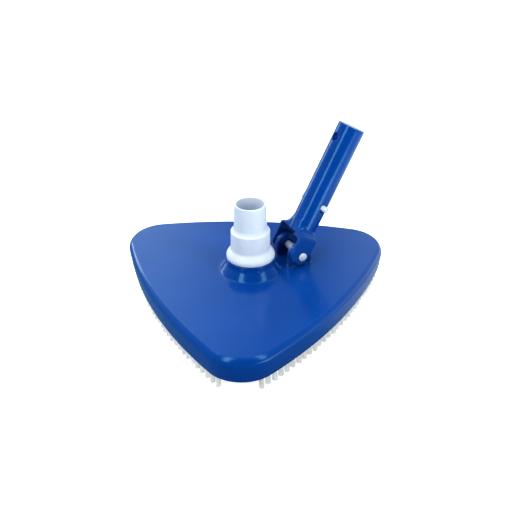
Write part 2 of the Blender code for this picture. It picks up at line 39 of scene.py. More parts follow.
# Plan: three corner arcs joined tangentially by three long side arcs
CORNER_DIST, CORNER_R, SIDE_R = 108.0, 35.25, 465.5
SIDE_HALF = math.degrees(math.asin(CORNER_DIST * math.sqrt(3) / 2 / (SIDE_R - CORNER_R)))
SIDE_DIST = (math.sqrt((SIDE_R - CORNER_R) ** 2 - (CORNER_DIST * math.sqrt(3) / 2) ** 2)
             - CORNER_DIST / 2)            # from the axis back to a side arc's centre

# Shell: walls, rounded band round the top edge, neck
SHELL_H, WALL, BULGE = 24.6, 2.3, 2.1
BAND_H, BAND_W, BAND_STEPS = 8.0, 4.0, 24
CEILING = 21.8
NECK_TOP, NECK_BORE, NECK_SHELF = 38.2, 17.6, 29.7

# Pivot: pin along Y, carried by two lugs on the shell
TILT, PIN_X, PIN_Z = 27.75, 46.1, 35.2
PIN_R, PIN_HOLE, PIN_HEAD_R = 4.0, 4.3, 4.55
LUG_IN, LUG_OUT, LUG_R, LUG_SOFT = 9.4, 16.8, 11.5, 0.9

# Handle, in its own frame: origin at the pin, Z along the pole
TUBE_R, TUBE_BORE, TUBE_END = 13.15, 10.0, 131.3
FORK_OUT, FORK_IN, FORK_X_LOW, FORK_X_HIGH, FORK_ROOF = 20.3, 17.1, -12.9, 7.6, 19.0
FORK_FACE = FORK_OUT + GAP                 # where pin head and cap sit
BUTTON_POS, BUTTON_R, BUTTON_TIP, BUTTON_TURN, BUTTON_DROP = 50.6, 2.75, 18.8, 9.0, 2.2
CLIP_BEND_POS, CLIP_HALF_W = 94.0, 3.6
TOP_HOLE_POS, TOP_HOLE_R = 116.7, 4.0

# Brushes; insets are measured inwards from the plan outline, row lengths in degrees
RAIL_OUT, RAIL_IN, RAIL_Z0, RAIL_Z1 = 2.9, 8.6, 1.0, 8.0
ROW_HALF, ROW_INSET, TUFTS = 13.3, 5.7, 28
RAIL_HALF = ROW_HALF + 0.35
TUFT_R, STRANDS, STRAND_R, STRAND_SIDES, STRAND_LEVELS = 2.02, 54, 0.21, 5, 6

# Base plate and its screws
PLATE_EDGE, PLATE_Z0, PLATE_Z1 = 9.2, 3.0, 5.6
PORT_R, THROAT_R, THROAT_TOP = 18.6, 21.0, 22.0
SCREW_HEAD_R, SCREW_R = 3.3, 1.4

# Edges sharper than this stay hard, in degrees
SHARP, LOOK_SHARP, STRAND_SHARP = 32.0, 30.0, 40.0

# Bases for prisms: the profile plane; XZ extrudes along -Y, YZ along +X
XZ = Matrix(((1, 0, 0), (0, 0, -1), (0, 1, 0)))
YZ = Matrix(((0, 0, 1), (1, 0, 0), (0, 1, 0)))
PIN_PLACE = Matrix.Translation(Vector((PIN_X, 0, PIN_Z + LIFT)) * MM)
HANDLE_PLACE = PIN_PLACE @ Matrix.Rotation(math.radians(TILT), 4, "Y")
BUTTON_ROT = Matrix.Rotation(math.radians(BUTTON_TURN), 3, "Z")

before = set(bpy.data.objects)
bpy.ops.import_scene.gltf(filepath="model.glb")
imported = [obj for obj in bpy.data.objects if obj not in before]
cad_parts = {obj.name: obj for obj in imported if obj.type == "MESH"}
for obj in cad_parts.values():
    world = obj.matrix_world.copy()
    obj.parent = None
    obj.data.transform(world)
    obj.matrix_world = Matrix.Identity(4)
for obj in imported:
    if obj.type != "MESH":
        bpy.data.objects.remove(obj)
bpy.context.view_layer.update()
scene = bpy.context.scene
rng = np.random.default_rng(7)


# ---- outlines ---------------------------------------------------------------------------------
def on_circle(radius, degrees):
    angle = math.radians(degrees)
    return radius * math.cos(angle), radius * math.sin(angle)


def arc(centre_x, centre_y, radius, start, end, steps):
    points = []
    for i in range(steps + 1):
        x, y = on_circle(radius, start + (end - start) * i / steps)
        points.append((centre_x + x, centre_y + y))
    return points


def corner_arcs(x_low, x_high, y_low, y_high, radius, steps):
    """Rounded rectangle, given the box its four corner arc centres lie on."""
    corners = ((x_high, y_high), (x_low, y_high), (x_low, y_low), (x_high, y_low))
    points = []
    for (x, y), start in zip(corners, (0, 90, 180, 270)):
        points += arc(x, y, radius, start, start + 90, steps)
    return points


def rounded(points, steps=5):
    """Closed profile of (x, y) or (x, y, radius): a corner with a radius becomes an arc."""
    result = []
    for i, (x, y, *radius) in enumerate(points):
        if not radius:
            result.append((x, y))
            continue
        corner = np.array((x, y), float)
        to_last = np.array(points[i - 1][:2], float) - corner
        to_next = np.array(points[(i + 1) % len(points)][:2], float) - corner
        last_length, next_length = np.linalg.norm(to_last), np.linalg.norm(to_next)
        to_last, to_next = to_last / last_length, to_next / next_length
        angle = math.acos(max(-1, min(1, float(to_last @ to_next))))
        if angle > math.radians(176):      # nearly straight: nothing to round
            result.append((x, y))
            continue
        trim = min(radius[0] / math.tan(angle / 2), last_length * 0.49, next_length * 0.49)
        fitted = trim * math.tan(angle / 2)
        middle = (to_last + to_next) / np.linalg.norm(to_last + to_next)
        centre = corner + middle * (fitted / math.sin(angle / 2))
        first = corner + to_last * trim - centre
        last = corner + to_next * trim - centre
        start, end = math.atan2(first[1], first[0]), math.atan2(last[1], last[0])
        turn = (end - start + math.pi) % (2 * math.pi) - math.pi
        for k in range(steps + 1):
            a = start + turn * k / steps
            result.append((centre[0] + fitted * math.cos(a), centre[1] + fitted * math.sin(a)))
    return result


def smooth_line(points, steps):
    """Catmull-Rom curve through the points, with this many steps per span."""
    p = np.array(points, float)
    p = np.vstack([2 * p[0] - p[1], p, 2 * p[-1] - p[-2]])
    result = []
    for i in range(1, len(p) - 2):
        a, b, c, d = p[i - 1:i + 3]
        for k in range(steps):
            t = k / steps
            result.append(0.5 * ((2 * b) + (c - a) * t + (2 * a - 5 * b + 4 * c - d) * t * t
                                 + (3 * b - a - 3 * c + d) * t ** 3))
    result.append(p[-2])
    return [tuple(q) for q in result]


def lifted(profile):
    """Raises the heights of (radius, height, ...) points by LIFT."""
    return [(x, z + LIFT, *rest) for x, z, *rest in profile]


def side_centre(side):
    """Heading of a side's middle, and the centre of its arc."""
    heading = 60.0 + 120.0 * side
    return heading, *on_circle(-SIDE_DIST, heading)


def outline(offset=0.0, corner_steps=36, side_steps=48):
    """The plan, grown outwards by offset."""
    corner_half = 60.0 - SIDE_HALF
    points = []
    for k in range(3):
        heading = 120.0 * k
        points += arc(*on_circle(CORNER_DIST, heading), CORNER_R + offset,
                      heading - corner_half, heading + corner_half, corner_steps)
        heading, x, y = side_centre(k)
        points += arc(x, y, SIDE_R + offset,
                      heading - SIDE_HALF, heading + SIDE_HALF, side_steps)[1:-1]
    return points


def side_point(inset, degrees, side, height):
    """Point inset from a side arc, degrees along it from the side's middle."""
    heading, centre_x, centre_y = side_centre(side)
    x, y = on_circle(SIDE_R - inset, heading + degrees)
    return centre_x + x, centre_y + y, height + LIFT


# ---- meshes -----------------------------------------------------------------------------------
def finish_mesh(mesh, material, sharp):
    mesh.shade_smooth()
    if sharp is not None:
        mesh.set_sharp_from_angle(angle=math.radians(sharp))
    if material is not None:
        mesh.materials.clear()
        mesh.materials.append(material)


def add_object(name, data):
    piece = bpy.data.objects.new(name, data)
    scene.collection.objects.link(piece)
    return piece


def from_bmesh(name, bm, material=None, sharp=SHARP):
    mesh = bpy.data.meshes.new(name)
    bm.to_mesh(mesh)
    bm.free()
    piece = add_object(name, mesh)
    finish_mesh(mesh, material, sharp)
    return piece


def from_arrays(name, verts, faces, material=None, sharp=SHARP):
    mesh = bpy.data.meshes.new(name)
    mesh.from_pydata([tuple(v) for v in verts], [], [tuple(int(i) for i in f) for f in faces])
    mesh.update()
    piece = add_object(name, mesh)
    finish_mesh(mesh, material, sharp)
    return piece


def face_outwards(piece):
    bm = bmesh.new()
    bm.from_mesh(piece.data)
    bmesh.ops.recalc_face_normals(bm, faces=bm.faces)
    bm.to_mesh(piece.data)
    bm.free()
    return piece


def grid_faces(rows, cols, wrap_rows=False):
    """Quads between rings of cols points; wrap_rows joins the last ring to the first."""
    faces = []
    for i in range(rows if wrap_rows else rows - 1):
        i2 = (i + 1) % rows
        for j in range(cols):
            j2 = (j + 1) % cols
            faces.append((i * cols + j, i * cols + j2, i2 * cols + j2, i2 * cols + j))
    return faces


def loft(name, rings, material=None, capped=True):
    """Skin over rings of points: closed by end caps, or else by joining last ring to first."""
    points = np.array(rings, float) * MM
    rows, cols = points.shape[:2]
    faces = grid_faces(rows, cols, wrap_rows=not capped)
    if capped:
        faces.append(tuple(range(cols))[::-1])
        faces.append(tuple((rows - 1) * cols + k for k in range(cols)))
    return face_outwards(from_arrays(name, points.reshape(-1, 3), faces, material))


def lathe(name, profile, steps, material=None, sharp=SHARP):
    """Turns a closed (radius, height) profile round Z; points on the axis stay single."""
    verts, faces, rings = [], [], []
    for r, z in profile:
        if r < 1e-6:
            rings.append([len(verts)])
            verts.append((0, 0, z * MM))
            continue
        rings.append(list(range(len(verts), len(verts) + steps)))
        for k in range(steps):
            angle = 2 * math.pi * k / steps
            verts.append((r * MM * math.cos(angle), r * MM * math.sin(angle), z * MM))
    for i, a in enumerate(rings):
        b = rings[(i + 1) % len(rings)]
        if len(a) == 1 and len(b) == 1:
            continue
        for k in range(steps):
            k2 = (k + 1) % steps
            if len(a) == 1:
                faces.append((a[0], b[k2], b[k]))
            elif len(b) == 1:
                faces.append((a[k], a[k2], b[0]))
            else:
                faces.append((a[k], a[k2], b[k2], b[k]))
    return face_outwards(from_arrays(name, verts, faces, material, sharp))


def cylinder(name, radius, low, high, steps):
    return lathe(name, [(0, low), (radius, low), (radius, high), (0, high)], steps)


def prism(name, points, low, high, basis=Matrix.Identity(3), material=None, sharp=SHARP):
    """Extrudes a flat outline from low to high along the third axis of the basis."""
    bm = bmesh.new()
    face = bm.faces.new([bm.verts.new(basis @ Vector((x * MM, y * MM, low * MM)))
                         for x, y in points])
    extruded = bmesh.ops.extrude_face_region(bm, geom=[face])
    moved = [part for part in extruded["geom"] if isinstance(part, bmesh.types.BMVert)]
    bmesh.ops.translate(bm, verts=moved, vec=basis @ Vector((0, 0, (high - low) * MM)))
    bmesh.ops.recalc_face_normals(bm, faces=bm.faces)
    return from_bmesh(name, bm, material, sharp)


def place(piece, matrix):
    piece.data.transform(matrix)
    return piece


def cut(target, tool, operation="DIFFERENCE"):
    modifier = target.modifiers.new(operation, "BOOLEAN")
    modifier.operation, modifier.solver, modifier.object = operation, "EXACT", tool


def soften_edges(piece, width, segments, angle):
    bevel = piece.modifiers.new("soft", "BEVEL")
    bevel.width, bevel.segments = width * MM, segments
    bevel.limit_method, bevel.angle_limit = "ANGLE", math.radians(angle)


def bake(piece, sharp=SHARP, material=None):
    """Applies all modifiers and removes the tools they used."""
    tools = [m.object for m in piece.modifiers if m.type == "BOOLEAN"]
    bpy.context.view_layer.update()
    evaluated = piece.evaluated_get(bpy.context.evaluated_depsgraph_get())
    mesh = bpy.data.meshes.new_from_object(evaluated)
    piece.modifiers.clear()
    piece.data = mesh
    for tool in tools:
        bpy.data.objects.remove(tool, do_unlink=True)
    finish_mesh(mesh, material, sharp)
    return piece


def join(name, pieces, material, sharp):
    bm = bmesh.new()
    for piece in pieces:
        bm.from_mesh(piece.data)
    for piece in pieces:
        bpy.data.objects.remove(piece, do_unlink=True)
    return from_bmesh(name, bm, material, sharp)


def put(piece, body, node):
    """Moves a piece into the frame, lets it ride on its body and stand for its CAD node."""
    piece.location = piece.location + SHIFT
    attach(piece, body)
    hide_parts(node)


# ---- shader nodes -----------------------------------------------------------------------------
class Nodes:
    """Adds nodes to a material's or world's tree; inputs take values or other nodes' outputs."""

    def __init__(self, owner):
        owner.use_nodes = True
        self.tree = owner.node_tree

    def feed(self, node, inputs):
        for key, value in inputs.items():
            if isinstance(value, bpy.types.NodeSocket):
                self.tree.links.new(value, node.inputs[key])
            else:
                node.inputs[key].default_value = value

    def add(self, kind, inputs=None, **settings):
        node = self.tree.nodes.new("ShaderNode" + kind)
        for key, value in settings.items():
            setattr(node, key, value)
        self.feed(node, inputs or {})
        return node

    def maths(self, operation, first, second):
        return self.add("Math", {0: first, 1: second}, operation=operation).outputs[0]

    def vector_maths(self, operation, first, second):
        node = self.add("VectorMath", {0: first, 1: second}, operation=operation)
        return node.outputs["Value"]

    def remap(self, value, source, target=(0.0, 1.0), curve="LINEAR"):
        """Carries the source range over to the target range."""
        return self.add("MapRange", {"Value": value, "From Min": source[0],
                                     "From Max": source[1], "To Min": target[0],
                                     "To Max": target[1]}, interpolation_type=curve).outputs[0]

    def step(self, value, source, target=(0.0, 1.0)):
        return self.remap(value, source, target, curve="SMOOTHSTEP")

    def noise(self, vector, scale, detail=2.0):
        inputs = {"Vector": vector, "Scale": scale, "Detail": detail}
        return self.add("TexNoise", inputs).outputs[0]

    def mix(self, factor, first, second, blend="MIX"):
        return self.add("Mix", {0: factor, 6: first, 7: second},
                        data_type="RGBA", blend_type=blend).outputs[2]

    def bump(self, height, strength, distance, normal=None):
        inputs = {"Height": height, "Strength": strength, "Distance": distance}
        if normal is not None:
            inputs["Normal"] = normal
        return self.add("Bump", inputs).outputs[0]


def new_material(name):
    material = bpy.data.materials.new(name)
    nodes = Nodes(material)
    return material, nodes, nodes.tree.nodes["Principled BSDF"]


def hole_glow(nodes, position, openness, centres, radius):
    """Strength of a painted glow in enclosed places within radius of the centres."""
    near = 0.0
    for centre in centres:
        distance = nodes.vector_maths("DISTANCE", position, centre)
        within = nodes.remap(distance, (radius * 0.7, radius), (1.0, 0.0))
        near = nodes.maths("MAXIMUM", within, near)
    enclosed = nodes.remap(openness, (0.2, 0.5), (1.0, 0.0))
    return nodes.maths("MULTIPLY", near, enclosed)


def plastic(name, color, rough, vary=0.05, tint=0.06, grain=0.05, grain_scale=2600.0, bevel=0.0,
            scratch=0.05, sss=0.0, ior=1.5, flow=0.0, shade=0.0, reach=25.0,
            gloss=(1.0, 1.0, 1.0), hollow=None, glow=None):
    """Moulded plastic.

    rough +- vary is the patchy roughness, scratch what scuffs add to it; tint is the drift in
    brightness; grain and flow are fine and broad bumps; bevel softens edges (mm). Painted shade:
    hollows, sensed over reach (mm), darken by shade and are tinted by hollow. gloss tints the
    highlights. glow is (centres, radius in metres, colour) of a painted glow inside holes;
    hollow and glow need shade.
    """
    material, nodes, surface = new_material(name)
    position = nodes.add("TexCoord").outputs["Object"]
    mapped = nodes.add("Mapping", {"Vector": position}).outputs[0]
    drift = nodes.noise(mapped, scale=22.0, detail=4.0)
    patches = nodes.noise(mapped, scale=160.0, detail=5.0)
    stretched = nodes.add("Mapping", {"Vector": position, "Rotation": (0.3, 0.2, 0.7),
                                      "Scale": (30.0, 900.0, 300.0)}).outputs[0]
    streaks = nodes.noise(stretched, scale=1.0)
    scuffs = nodes.remap(streaks, (0.66, 0.78), (0.0, scratch))
    patchy = nodes.remap(patches, (0.3, 0.7), (rough - vary, rough + vary))
    roughness = nodes.maths("ADD", patchy, scuffs)

    brightness = nodes.remap(drift, (0.3, 0.7), (1.0 - tint, 1.0 + tint))
    # painted shade: ambient occlusion darkens the base colour in hollows
    if shade > 0:
        openness = nodes.add("AmbientOcclusion", {"Distance": reach * MM},
                             samples=8).outputs["AO"]
        deep = nodes.remap(openness, (0.1, 0.7), (1.0 - shade, 1.0))
        brightness = nodes.maths("MULTIPLY", brightness, deep)
    base = nodes.add("HueSaturation", {"Color": (*color, 1), "Value": brightness}).outputs[0]
    # painted shade: the darkened hollows are also tinted by this colour
    if hollow is not None:
        open_part = nodes.remap(openness, (0.1, 0.7))
        tone = nodes.mix(open_part, (*hollow, 1), (1, 1, 1, 1))
        base = nodes.mix(1.0, base, tone, blend="MULTIPLY")
    # painted glow: emission in enclosed spots near the centres, standing in for light scattered
    # into holes
    if glow is not None:
        centres, radius, glow_color = glow
        strength = hole_glow(nodes, position, openness, centres, radius)
        nodes.feed(surface, {"Emission Strength": strength, "Emission Color": (*glow_color, 1)})

    fine = nodes.noise(position, scale=grain_scale)
    softened = None
    if bevel > 0:
        softened = nodes.add("Bevel", {"Radius": bevel * MM}, samples=6).outputs[0]
    normal = nodes.bump(fine, strength=grain, distance=0.0001, normal=softened)
    if flow > 0:
        waves = nodes.noise(position, scale=34.0, detail=1.0)
        normal = nodes.bump(waves, strength=flow, distance=0.0006, normal=normal)
    nodes.feed(surface, {"Base Color": base, "Roughness": roughness, "Normal": normal,
                         "IOR": ior, "Specular Tint": (*gloss, 1)})
    if sss > 0:
        nodes.feed(surface, {"Subsurface Weight": sss, "Subsurface Radius": (1.0, 1.0, 1.2),
                             "Subsurface Scale": 0.0022})
    return material


def metal(name, color, rough, bump_scale, bump, vary=0.08):
    """Metal whose roughness (rough +- vary), tone and bumps all follow one noise."""
    material, nodes, surface = new_material(name)
    position = nodes.add("TexCoord").outputs["Object"]
    mapped = nodes.add("Mapping", {"Vector": position}).outputs[0]
    texture = nodes.noise(mapped, scale=bump_scale, detail=6.0)
    ramp = nodes.add("ValToRGB", {0: texture})
    dark, light = ramp.color_ramp.elements
    dark.color = (*[c * 0.75 for c in color], 1)
    light.color = (*[min(1, c * 1.12) for c in color], 1)
    nodes.feed(surface, {
        "Metallic": 1.0,
        "Roughness": nodes.remap(texture, (0.0, 1.0), (rough - vary, rough + vary)),
        "Base Color": ramp.outputs[0],
        "Normal": nodes.bump(texture, strength=bump, distance=0.0002)})
    return material


def filament(name):
    """Stiff nylon; per-strand tone, a painted glow for light passed on, painted shade at roots.
    """
    material, nodes, surface = new_material(name)
    strand = nodes.add("Attribute", attribute_name="strand").outputs["Fac"]
    position = nodes.add("TexCoord").outputs["Object"]
    height = nodes.add("SeparateXYZ", {0: position}).outputs["Z"]
    # painted shade: darker towards the roots, under the shell
    along = nodes.remap(height, (0.0, 0.013), (1.0, 0.86))      # darker towards the roots
    shade = nodes.remap(strand, (0.0, 1.0), (0.88, 1.06))
    base = nodes.add("HueSaturation", {"Color": (0.80, 0.80, 0.78, 1),
                                       "Value": nodes.maths("MULTIPLY", along, shade)})
    # painted glow: each strand emits a little light, standing in for light passed on through the
    # nylon
    glow = nodes.remap(strand, (0.0, 1.0), (0.17, 0.27))
    fine = nodes.noise(position, scale=2500.0)
    nodes.feed(surface, {
        "Base Color": base.outputs[0],
        "Emission Color": (1.0, 1.0, 0.96, 1),
        "Emission Strength": glow,
        "Roughness": 0.38,
        "Subsurface Weight": 0.25,
        "Subsurface Radius": (1.0, 1.0, 1.0),
        "Subsurface Scale": 0.0012,
        "Normal": nodes.bump(fine, strength=0.15, distance=0.0001)})
    return material


# ---- materials --------------------------------------------------------------------------------
BLUE = (0.0002, 0.057, 0.305)
SHEEN = (0.34, 0.74, 1.0)
# centres of the painted glow in the handle's top hole and button slot
HANDLE_HOLES = [HANDLE_PLACE @ (Vector((0, 0, z)) * MM) for z in (TOP_HOLE_POS, BUTTON_POS)]

# painted shade darkens the shell's hollows, round the neck and lugs
blue_shell = plastic("blue_shell_look", BLUE, rough=0.18, vary=0.025, grain=0.03, bevel=0.35,
                     flow=0.03, ior=1.45, shade=0.5, gloss=SHEEN)
# painted shade in the handle's hollows, and a painted blue glow in its holes
blue_handle = plastic("blue_handle_look", BLUE, rough=0.15, vary=0.025, grain=0.03, bevel=0.5,
                      ior=1.45, shade=0.5, gloss=SHEEN,
                      glow=(HANDLE_HOLES, 0.018, (0.001, 0.024, 0.16)))
blue_plate = plastic("blue_plate_look", BLUE, rough=0.32, vary=0.06, grain=0.06, bevel=0.4,
                     scratch=0.1, ior=1.45, gloss=SHEEN)
# painted shade darkens the cuff's hollows and mouth and tints them blue
white_cuff = plastic("white_cuff_look", (0.77, 0.82, 0.885), rough=0.3, tint=0.02, grain=0.03,
                     bevel=0.3, scratch=0.08, sss=0.15, ior=1.35, shade=0.32, reach=30.0,
                     hollow=(0.80, 0.87, 1.06))
# painted shade darkens the pin between the lugs and tints it blue
white_pin = plastic("white_pin_look", (0.70, 0.76, 0.86), rough=0.34, tint=0.03, scratch=0.1,
                    sss=0.1, ior=1.35, shade=0.75, reach=30.0, hollow=(0.6, 0.78, 1.05))
white_clip = plastic("white_clip_look", (0.74, 0.80, 0.88), rough=0.34, tint=0.02, grain=0.04,
                     scratch=0.06, sss=0.15, ior=1.35)
white_ring = plastic("white_ring_look", (0.62, 0.65, 0.7), rough=0.4, tint=0.03, scratch=0.1)
white_rail = plastic("white_rail_look", (0.66, 0.69, 0.73), rough=0.45, vary=0.08, tint=0.05,
                     grain=0.1, bevel=0.4, scratch=0.12)
black_seal = plastic("black_seal_look", (0.015, 0.015, 0.017), rough=0.6, vary=0.1, tint=0.2,
                     grain=0.25, grain_scale=1500, scratch=0.1)
bristle = filament("white_bristle_look")
cast = metal("cast_weight_look", (0.09, 0.095, 0.1), rough=0.6, bump_scale=700.0, bump=0.5)
steel = metal("steel_screw_look", (0.6, 0.6, 0.62), rough=0.28, bump_scale=1400.0, bump=0.05)


# ---- top shell --------------------------------------------------------------------------------
# Offset from the plan outline, height: lower rim and outer wall
WALL_OUTSIDE = [(-WALL + 0.5, 0.0), (-0.5, 0.0), (-0.15, 0.12), (0.0, 0.45),
                (0.45, 3.2), (0.9, 6.0), (1.5, 11.3), (1.95, 15.2)]
# The same, from the band's inner edge across the top
TOP_EDGE = [(BULGE - BAND_W - 0.04, SHELL_H - 0.04), (BULGE - BAND_W - 0.22, SHELL_H),
            (BULGE - BAND_W - 0.6, SHELL_H), (-6.0, SHELL_H), (-20.0, SHELL_H)]
# The same, from the ceiling back down the inner wall
WALL_INSIDE = [(-20.0, CEILING), (BULGE - WALL - 3.9, CEILING), (BULGE - WALL - 2.5, 21.3),
               (BULGE - WALL - 1.5, 20.3), (BULGE - WALL - 0.5, 18.4), (BULGE - WALL, 16.6),
               (0.9 - WALL, 6.0), (-WALL, 0.5)]
# Radius, height: the flare from the flat top up the neck, a smooth curve through these
NECK_FLARE = [(30.4, SHELL_H), (29.7, 24.7), (29.05, 25.15), (28.4, 26.0), (27.4, 27.6),
              (26.5, 29.15), (25.6, 30.65), (24.95, 31.75), (24.45, 32.75), (24.1, 33.9),
              (23.85, 35.5), (23.7, 37.2)]
# Radius, height: over the neck's lip, down the bore, under the shelf and out to the ceiling
NECK_INSIDE = [(23.6, 37.65), (23.4, 37.95), (23.1, 38.15), (22.7, NECK_TOP), (18.4, NECK_TOP),
               (17.9, 38.1), (17.65, 37.85), (NECK_BORE, 37.5), (NECK_BORE, NECK_SHELF + 0.2),
               (NECK_BORE + 0.2, NECK_SHELF), (22.6, NECK_SHELF), (22.8, NECK_SHELF - 0.3),
               (22.8, 22.0), (23.0, CEILING), (40.0, CEILING)]
# Screw post below the ceiling, with its pilot hole
POST = [(0, 15.5), (1.7, 15.5), (1.7, 5.9), (4.0, 5.9), (4.3, 22.4), (0, 22.4)]


def screw_places():
    """One screw in each corner, then a pair along each side."""
    points = [on_circle(122.0, 120.0 * k) for k in range(3)]
    for side in range(3):
        points += [side_point(18.5, degrees, side, 0.0)[:2] for degrees in (-5.6, 5.6)]
    return [Vector((x, y, 0.0)) * MM for x, y in points]


def band_profile():
    """Rounded band between outer wall and top, stopping just short of its full turn."""
    turn = 2.0 * math.atan(BAND_W / BAND_H)
    radius = BAND_H / math.sin(turn)
    points = []
    for i in range(BAND_STEPS + 1):
        angle = turn * (i / BAND_STEPS) * 0.985
        points.append((BULGE - radius * (1 - math.cos(angle)),
                       SHELL_H - BAND_H + radius * math.sin(angle)))
    return points


def shell_skin():
    """Closed skin: up the outside, over the neck, and back down the inside."""
    # round rings use the plan's bearings, so that they join up with the plan rings
    bearings = [math.atan2(y, x) for x, y in outline(-2.0)]

    def plan_rings(profile):
        return [[(x, y, z + LIFT) for x, y in outline(offset)] for offset, z in profile]

    def round_rings(profile):
        return [[(r * math.cos(a), r * math.sin(a), z + LIFT) for a in bearings]
                for r, z in profile]

    flat_top = [(r, SHELL_H) for r in (48.0, 39.0, 34.0)]
    rings = plan_rings(WALL_OUTSIDE + band_profile() + TOP_EDGE)
    rings += round_rings(flat_top + smooth_line(NECK_FLARE, 4) + NECK_INSIDE)
    rings += plan_rings(WALL_INSIDE)
    return loft("shell_skin", rings, capped=False)


def pin_bore(base=Matrix()):
    """Cylinder along Y that cuts the pin's hole."""
    turn = Matrix.Rotation(math.radians(90), 4, "X")
    return place(cylinder("pin_bore", PIN_HOLE, -25.0, 25.0, 64), base @ turn)


def lug(sign):
    foot, pin_height = 23.0 + LIFT, PIN_Z + LIFT
    profile = [(PIN_X - LUG_R, foot), (PIN_X - LUG_R, pin_height)]
    profile += arc(PIN_X, pin_height, LUG_R, 180.0, 0.0, 64)[1:-1]
    profile += [(PIN_X + LUG_R, pin_height), (PIN_X + LUG_R, foot)]
    y_low, y_high = sorted((sign * LUG_IN, sign * LUG_OUT))
    piece = prism("lug", profile, -y_high, -y_low, XZ)
    cut(piece, pin_bore(PIN_PLACE))
    soften_edges(piece, width=LUG_SOFT, segments=4, angle=50)
    return bake(piece)


def lug_skirt(sign):
    """Concave fillet round a lug's foot."""
    fillet, steps = 0.8, 10
    middle_y = sign * (LUG_IN + LUG_OUT) / 2
    reach_x, reach_y = LUG_R - LUG_SOFT, (LUG_OUT - LUG_IN) / 2 - LUG_SOFT
    rings = []
    for i in range(steps + 1):
        angle = math.radians(90.0 * i / steps)
        outset = fillet * (1 - math.sin(angle))
        height = SHELL_H + fillet * (1 - math.cos(angle))
        points = corner_arcs(PIN_X - reach_x, PIN_X + reach_x, middle_y - reach_y,
                             middle_y + reach_y, LUG_SOFT + outset, 10)
        rings.append([(x, y, height + LIFT) for x, y in points])
    # both ends are sunk: the first into the shell, the last into the lug
    rings.insert(0, [(x, y, SHELL_H - 0.4 + LIFT) for x, y, _ in rings[0]])
    rings.append([(PIN_X + (x - PIN_X) * 0.85, middle_y + (y - middle_y) * 0.7, z - 0.2)
                  for x, y, z in rings[-1]])
    return loft("skirt", rings)


def build_shell(screw_spots):
    parts = [shell_skin()]
    for sign in (1, -1):
        parts += [lug(sign), lug_skirt(sign)]
    for spot in screw_spots:
        parts.append(place(lathe("post", lifted(POST), 32), Matrix.Translation(spot)))
    shell = join("vac_shell", parts, blue_shell, LOOK_SHARP)
    put(shell, "head", "top_shell")


# ---- base plate -------------------------------------------------------------------------------
def build_base_plate(screw_spots):
    # offset from the plan outline, height
    edge = [(-PLATE_EDGE - 0.4, PLATE_Z0), (-PLATE_EDGE, PLATE_Z0 + 0.4),
            (-PLATE_EDGE, PLATE_Z1 - 0.4), (-PLATE_EDGE - 0.4, PLATE_Z1)]
    plate = loft("vac_base_plate", [[(x, y, z + LIFT) for x, y in outline(offset, 24, 24)]
                                    for offset, z in edge])
    throat = rounded(lifted([(0, 1.2), (THROAT_R + 1.0, 1.2, 0.8),
                             (THROAT_R + 1.0, PLATE_Z1 + 1.0), (THROAT_R, PLATE_Z1 + 2.0),
                             (THROAT_R, THROAT_TOP), (0, THROAT_TOP)]))
    cut(plate, lathe("throat", throat, 96), "UNION")
    # ribs on the underside, long ones to the corners and short ones to the sides
    rib_start, rib_half = 20.5, 1.2
    for k in range(6):
        rib_end = 104.0 if k % 2 == 0 else 78.0
        points = [(rib_start, -rib_half), (rib_end, -rib_half), (rib_end + 1.0, 0.0),
                  (rib_end, rib_half), (rib_start, rib_half)]
        rib = prism("rib", points, 1.6 + LIFT, PLATE_Z0 + 0.6 + LIFT)
        cut(plate, place(rib, Matrix.Rotation(math.radians(60.0 * k), 4, "Z")), "UNION")
    port = lifted([(0, -4.0), (PORT_R + 0.9, -4.0), (PORT_R + 0.9, 1.2), (PORT_R, 2.2),
                   (PORT_R, 30.0), (0, 30.0)])
    cut(plate, lathe("port", port, 96))
    for spot in screw_spots:
        hole = cylinder("hole", SCREW_R + 0.4, -2.0 + LIFT, 9.0 + LIFT, 24)
        cut(plate, place(hole, Matrix.Translation(spot)))
    bake(plate, LOOK_SHARP, blue_plate)
    put(plate, "head", "base_plate")


# ---- brush rails and bristles -----------------------------------------------------------------
def rail_edge(degrees):
    """Outer inset of a rail; past the side arc's end it follows the corner's curve inwards."""
    past = max(0.0, abs(degrees) - SIDE_HALF) * math.radians(1.0) * SIDE_R
    return RAIL_OUT + 0.55 * past * past / CORNER_R


def build_rail(side):
    steps = 80
    sections = []
    for i in range(steps + 1):
        degrees = -RAIL_HALF + 2 * RAIL_HALF * i / steps
        edge = rail_edge(degrees)
        profile = rounded([(edge, RAIL_Z0, 0.6), (RAIL_IN, RAIL_Z0, 0.6),
                           (RAIL_IN, RAIL_Z1, 0.9), (edge, RAIL_Z1, 0.9)], 3)
        sections.append([side_point(inset, degrees, side, z) for inset, z in profile])
    rail = loft("vac_brush_rail_%d" % (side + 1), sections, white_rail)
    put(rail, "head", "brush_rail_%d" % (side + 1))


STRAND_POINTS = STRAND_LEVELS * STRAND_SIDES
STRAND_FACES = grid_faces(STRAND_LEVELS, STRAND_SIDES)
STRAND_FACES.append(tuple(range(STRAND_POINTS - STRAND_SIDES, STRAND_POINTS)))
STRAND_FACES.append(tuple(range(STRAND_SIDES))[::-1])


